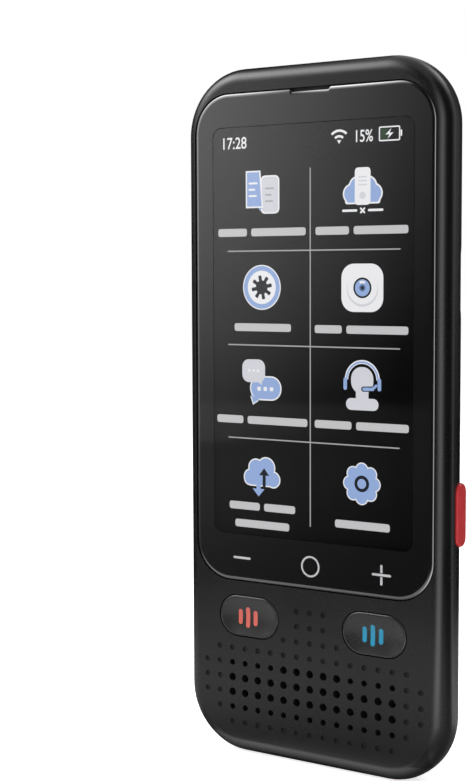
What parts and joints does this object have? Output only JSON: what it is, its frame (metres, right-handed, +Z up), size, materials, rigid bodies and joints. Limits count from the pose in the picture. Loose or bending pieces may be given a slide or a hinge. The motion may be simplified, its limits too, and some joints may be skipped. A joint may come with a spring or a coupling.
{
  "type": "handheld translator",
  "caption": "Slim handheld voice translator with a touch display, two talk keys over a speaker grille, a side key, a card slot, a lanyard loop and a rear camera",
  "frame": {"origin": "centre of the bottom end, at half the width and half the thickness of the two shells", "axes": "+X to the right for someone who looks at the display, +Y out of the back, +Z up towards the top end; the display faces -Y"},
  "size_m": [0.0649, 0.0126, 0.1504],
  "materials": {
    "front_shell": "fine moulded texture, black",
    "rear_shell": "fine moulded texture, black",
    "cover_glass": "clear, black-printed border",
    "glass_tape": "black foam adhesive",
    "display_panel": "black panel",
    "display_pan": "folded sheet",
    "display_tail": "amber film",
    "sound_mesh": "black acoustic mesh",
    "talk_key_left": "satin black",
    "talk_key_right": "satin black",
    "talk_bars_left": "red",
    "talk_bars_right": "blue",
    "talk_plunger_left": "black",
    "talk_plunger_right": "black",
    "talk_switches": "black",
    "speaker_mesh": "black woven mesh",
    "speaker_gasket": "black foam",
    "speaker_frame": "black",
    "speaker_cone": "dark treated paper",
    "speaker_magnet": "plated",
    "side_key": "red",
    "side_plunger": "black",
    "side_switch": "black",
    "side_board": "green laminate",
    "chassis": "cast",
    "chassis_screws": "plated",
    "board_screws": "plated",
    "main_board": "green laminate",
    "io_board": "green laminate",
    "shield_can_front": "tinned",
    "shield_can_rear": "tinned",
    "battery": "laminated pouch",
    "battery_tape": "white adhesive",
    "battery_pad": "black foam",
    "cell_board": "green laminate",
    "antenna": "film",
    "link_flex": "amber film",
    "card": "light grey",
    "card_socket": "stamped",
    "usb_shell": "drawn",
    "usb_tongue": "black",
    "bottom_microphone": "can",
    "bottom_mic_boot": "black",
    "top_microphone": "can",
    "top_mic_boot": "black",
    "camera_ring": "anodised dark",
    "camera_pane": "clear",
    "camera_shroud": "black",
    "camera_module": "black",
    "camera_lens": "coated"
  },
  "bodies": {
    "housing": {"front_shell": "front_shell", "rear_shell": "rear_shell", "cover_glass": "cover_glass", "glass_tape": "glass_tape", "display_panel": "display_panel", "display_pan": "display_pan", "display_tail": "display_tail", "sound_mesh": "sound_mesh", "talk_switches": "talk_switches", "speaker_mesh": "speaker_mesh", "speaker_gasket": "speaker_gasket", "speaker_frame": "speaker_frame", "speaker_cone": "speaker_cone", "speaker_magnet": "speaker_magnet", "side_switch": "side_switch", "side_board": "side_board", "chassis": "chassis", "chassis_screws": "chassis_screws", "board_screws": "board_screws", "main_board": "main_board", "io_board": "io_board", "shield_can_front": "shield_can_front", "shield_can_rear": "shield_can_rear", "battery": "battery", "battery_tape": "battery_tape", "battery_pad": "battery_pad", "cell_board": "cell_board", "antenna": "antenna", "link_flex": "link_flex", "card_socket": "card_socket", "usb_shell": "usb_shell", "usb_tongue": "usb_tongue", "bottom_microphone": "bottom_microphone", "bottom_mic_boot": "bottom_mic_boot", "top_microphone": "top_microphone", "top_mic_boot": "top_mic_boot", "camera_ring": "camera_ring", "camera_pane": "camera_pane", "camera_shroud": "camera_shroud", "camera_module": "camera_module", "camera_lens": "camera_lens"},
    "talk_left": {"talk_key_left": "talk_key_left", "talk_bars_left": "talk_bars_left", "talk_plunger_left": "talk_plunger_left"},
    "talk_right": {"talk_key_right": "talk_key_right", "talk_bars_right": "talk_bars_right", "talk_plunger_right": "talk_plunger_right"},
    "side_button": {"side_key": "side_key", "side_plunger": "side_plunger"},
    "data_card": {"card": "card"}
  },
  "joints": [
    {"name": "talk_press_left", "type": "slide", "parent": "housing", "child": "talk_left", "axis": [0, 1, 0], "range_m": [0, 0.0004], "stiffness_N_per_m": 100},
    {"name": "talk_press_right", "type": "slide", "parent": "housing", "child": "talk_right", "axis": [0, 1, 0], "range_m": [0, 0.0004], "stiffness_N_per_m": 100},
    {"name": "side_press", "type": "slide", "parent": "housing", "child": "side_button", "axis": [-1, 0, 0], "range_m": [0, 0.00035], "stiffness_N_per_m": 100},
    {"name": "card_slide", "type": "slide", "parent": "housing", "child": "data_card", "axis": [1, 0, 0], "range_m": [-0.0009, 0.013]}
  ]
}
